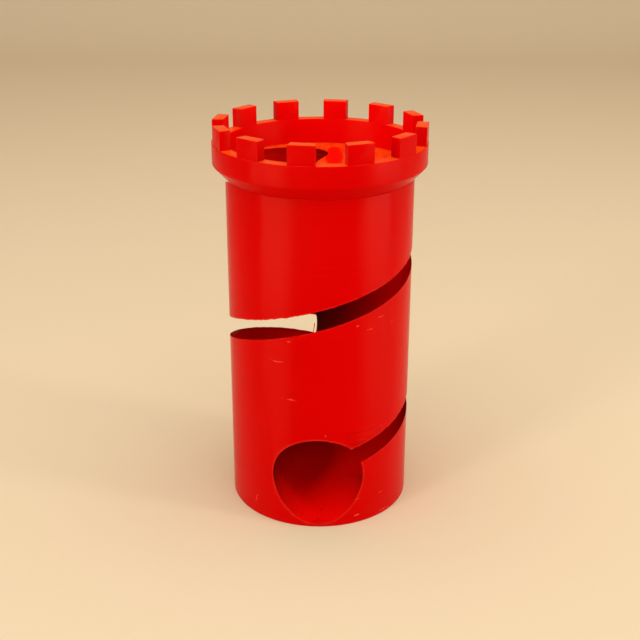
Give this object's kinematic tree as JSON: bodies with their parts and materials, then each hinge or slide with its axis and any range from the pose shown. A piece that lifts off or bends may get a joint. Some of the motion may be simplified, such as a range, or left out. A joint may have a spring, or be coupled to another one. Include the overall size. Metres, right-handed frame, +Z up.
{
  "type": "dice tower",
  "caption": "Round castle-style dice tower with a lift-off battlement crown and a helical tunnel that rolls dice out at the foot.",
  "frame": {"origin": "centre of the flat base, where the tower stands on the table", "axes": "+Z up along the tower's axis; the tunnel's mouth faces -Y, the front; +X is to the right seen from the front"},
  "size_m": [0.068, 0.068, 0.1289],
  "materials": {
    "red_print": "satin printed plastic with faint layer lines"
  },
  "bodies": {
    "tower": {"tower_body": "red_print"},
    "crown": {"battlement_crown": "red_print"}
  },
  "joints": [
    {"name": "crown_lift", "type": "slide", "parent": "tower", "child": "crown", "axis": [0, 0, 1], "range_m": [0, 0.02]}
  ]
}
